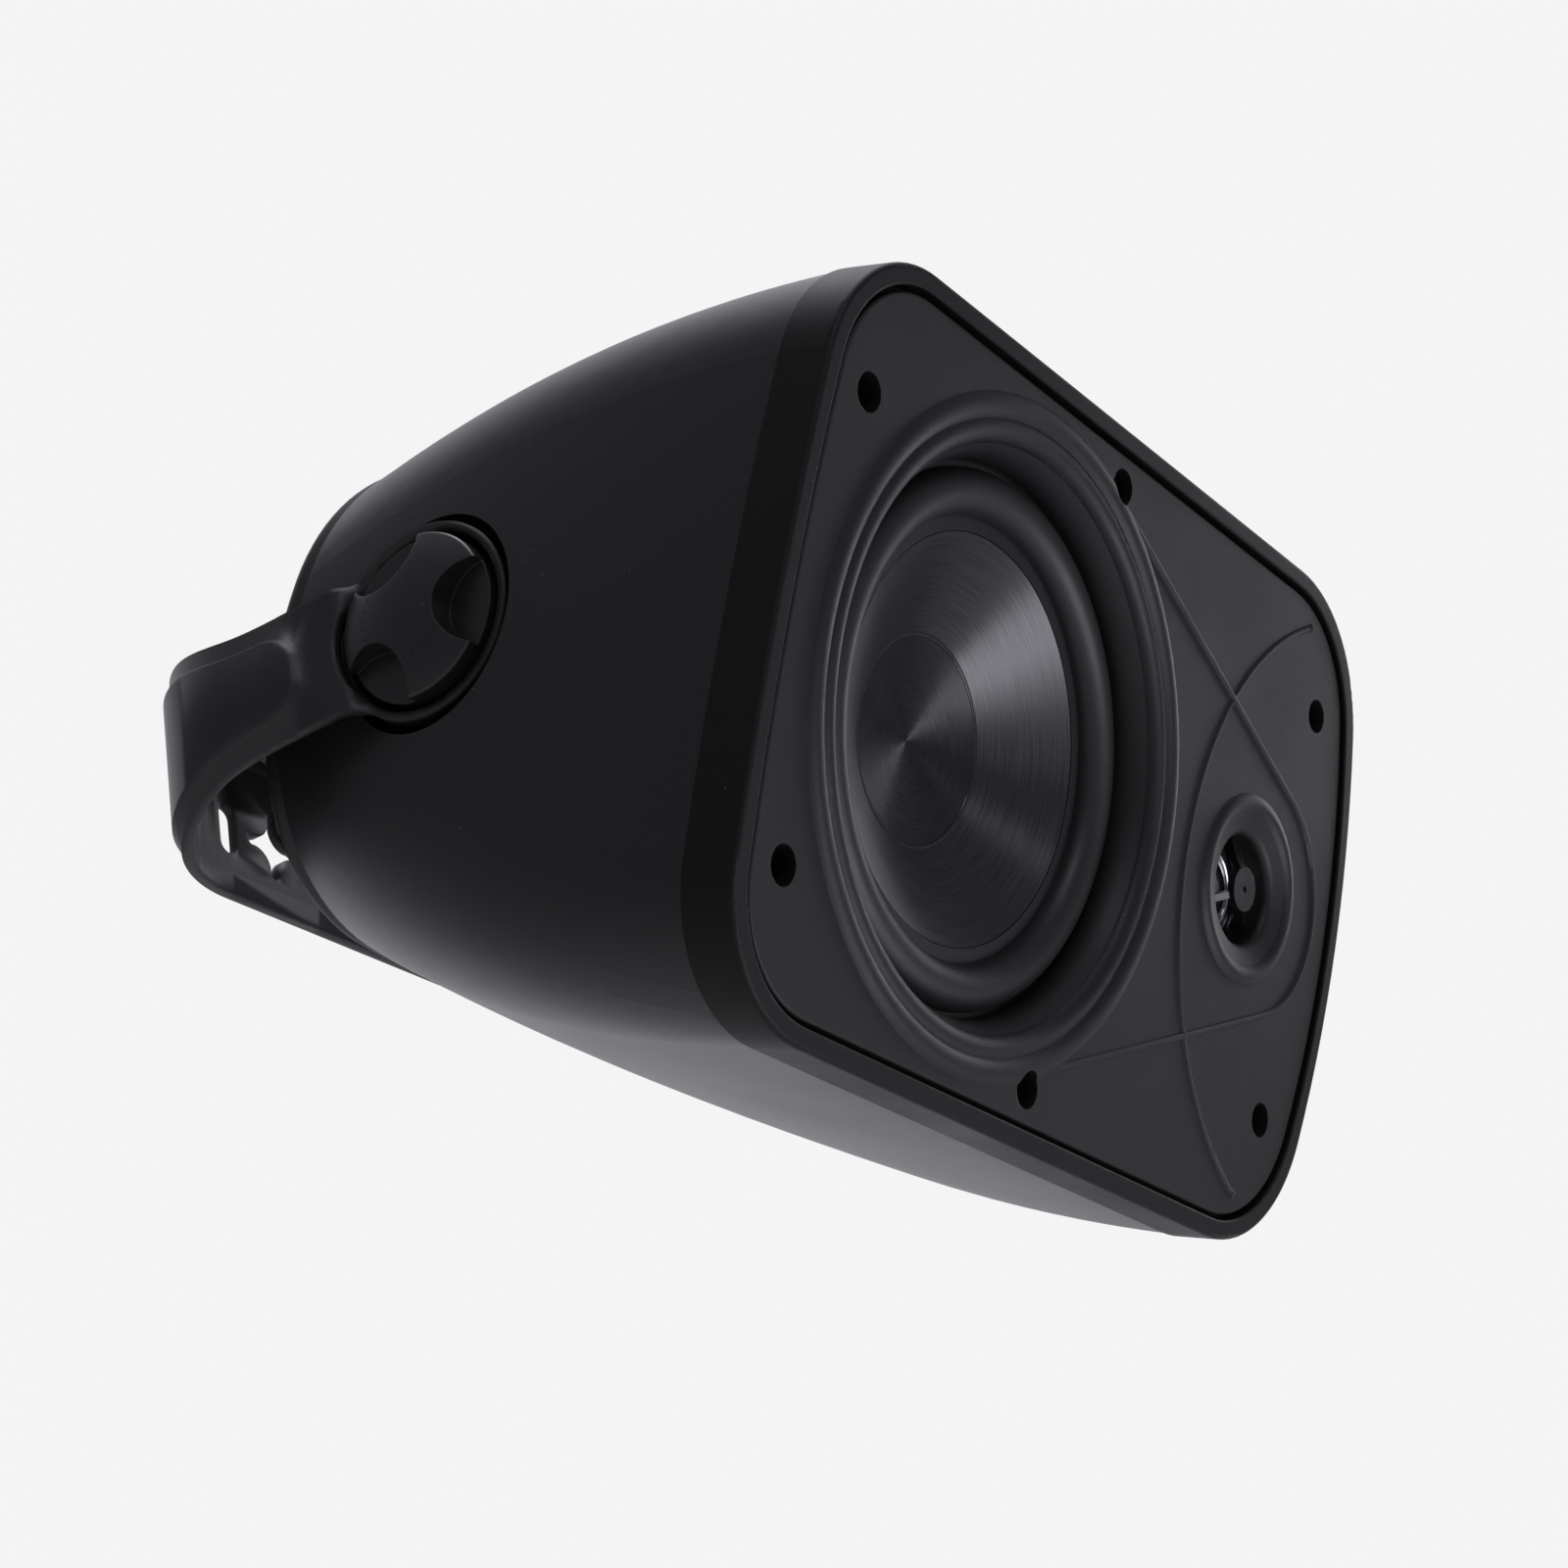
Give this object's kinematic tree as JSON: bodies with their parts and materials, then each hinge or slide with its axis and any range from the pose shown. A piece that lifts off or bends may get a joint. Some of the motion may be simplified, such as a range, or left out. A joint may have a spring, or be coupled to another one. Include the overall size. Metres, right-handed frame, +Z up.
{
  "type": "outdoor wall speaker",
  "caption": "Two-way outdoor speaker in a moulded cabinet without its grille, tilting between clamp knobs in a U-shaped wall bracket.",
  "frame": {"origin": "middle of the bracket's wall face", "axes": "+X along the cabinet towards the tweeter, +Y into the wall, +Z up; the front looks along -Y and down"},
  "size_m": [0.3376, 0.2742, 0.2455],
  "materials": {
    "bracket": "satin black powder coat",
    "cabinet": "satin black moulding",
    "rim": "matte black moulding",
    "baffle": "fine grained charcoal moulding",
    "gaskets": "closed cell foam",
    "black_screws": "blackened steel",
    "surround": "satin rubber",
    "cone": "dark concentric brushed",
    "former": "satin foil",
    "copper": "enamelled copper wire",
    "basket": "black painted pressing",
    "spider": "treated cloth",
    "steel": "zinc plated",
    "ferrite": "ground ceramic magnet",
    "tweeter_plastic": "black moulding",
    "dome": "thin polished film",
    "knobs": "satin black moulding",
    "inserts": "turned brass",
    "washers": "friction rubber",
    "black_posts": "black moulding",
    "red_posts": "red moulding",
    "board": "circuit board laminate",
    "capacitors": "sleeved cans",
    "resistor": "white ceramic block"
  },
  "bodies": {
    "bracket": {"wall_bracket": "bracket", "woofer_end_plate": "bracket", "tweeter_end_plate": "bracket", "woofer_end_arm": "bracket", "tweeter_end_arm": "bracket"},
    "cabinet": {"cabinet_shell": "cabinet", "front_rim": "rim", "baffle": "baffle", "baffle_gasket": "gaskets", "baffle_screws": "black_screws", "woofer_gasket": "gaskets", "woofer_basket": "basket", "woofer_spider": "spider", "woofer_top_plate": "steel", "woofer_magnet": "ferrite", "woofer_yoke": "steel", "woofer_screws": "black_screws", "tweeter_bridge": "tweeter_plastic", "tweeter_housing": "tweeter_plastic", "tweeter_top_plate": "steel", "tweeter_magnet": "ferrite", "tweeter_yoke": "steel", "tweeter_screws": "black_screws", "rear_gasket": "gaskets", "rear_cover": "rim", "rear_cover_screws": "black_screws", "post_stems": "inserts", "post_base_red": "red_posts", "post_base_black": "black_posts", "crossover_board": "board", "crossover_inductor": "copper", "crossover_capacitors": "capacitors", "crossover_resistor": "resistor", "crossover_screws": "black_screws", "woofer_end_insert": "inserts", "woofer_end_washer": "washers", "tweeter_end_insert": "inserts", "tweeter_end_washer": "washers"},
    "cone": {"woofer_cone": "cone", "woofer_dust_cap": "cone", "voice_coil_former": "former", "voice_coil_winding": "copper", "woofer_surround": "surround"},
    "diaphragm": {"tweeter_diaphragm": "dome", "tweeter_voice_coil": "copper"},
    "woofer_end_clamp": {"woofer_end_knob": "knobs", "woofer_end_stud": "steel"},
    "tweeter_end_clamp": {"tweeter_end_knob": "knobs", "tweeter_end_stud": "steel"},
    "red_cap": {"post_cap_red": "red_posts"},
    "black_cap": {"post_cap_black": "black_posts"}
  },
  "joints": [
    {"name": "tilt", "type": "hinge", "parent": "bracket", "child": "cabinet", "pos_m": [0, -0.116, 0], "axis": [1, 0, 0], "range_deg": [-112.5, 67.5]},
    {"name": "woofer_end_clamp_turn", "type": "hinge", "parent": "cabinet", "child": "woofer_end_clamp", "pos_m": [-0.15, -0.116, 0], "axis": [-1, 0, 0], "continuous": true},
    {"name": "tweeter_end_clamp_turn", "type": "hinge", "parent": "cabinet", "child": "tweeter_end_clamp", "pos_m": [0.15, -0.116, 0], "axis": [1, 0, 0], "continuous": true},
    {"name": "cone_travel", "type": "slide", "parent": "cabinet", "child": "cone", "axis": [0, -0.9239, -0.3827], "range_m": [-0.003, 0.003], "stiffness_N_per_m": 1200, "deforming": ["woofer_surround", "woofer_spider"]},
    {"name": "diaphragm_travel", "type": "slide", "parent": "cabinet", "child": "diaphragm", "axis": [0, -0.9239, -0.3827], "range_m": [-0.0004, 0.0004], "stiffness_N_per_m": 4000},
    {"name": "red_cap_turn", "type": "hinge", "parent": "cabinet", "child": "red_cap", "pos_m": [-0.029, -0.06565, 0.02086], "axis": [0, -0.9239, -0.3827], "continuous": true},
    {"name": "black_cap_turn", "type": "hinge", "parent": "cabinet", "child": "black_cap", "pos_m": [-0.055, -0.06565, 0.02086], "axis": [0, -0.9239, -0.3827], "continuous": true}
  ]
}
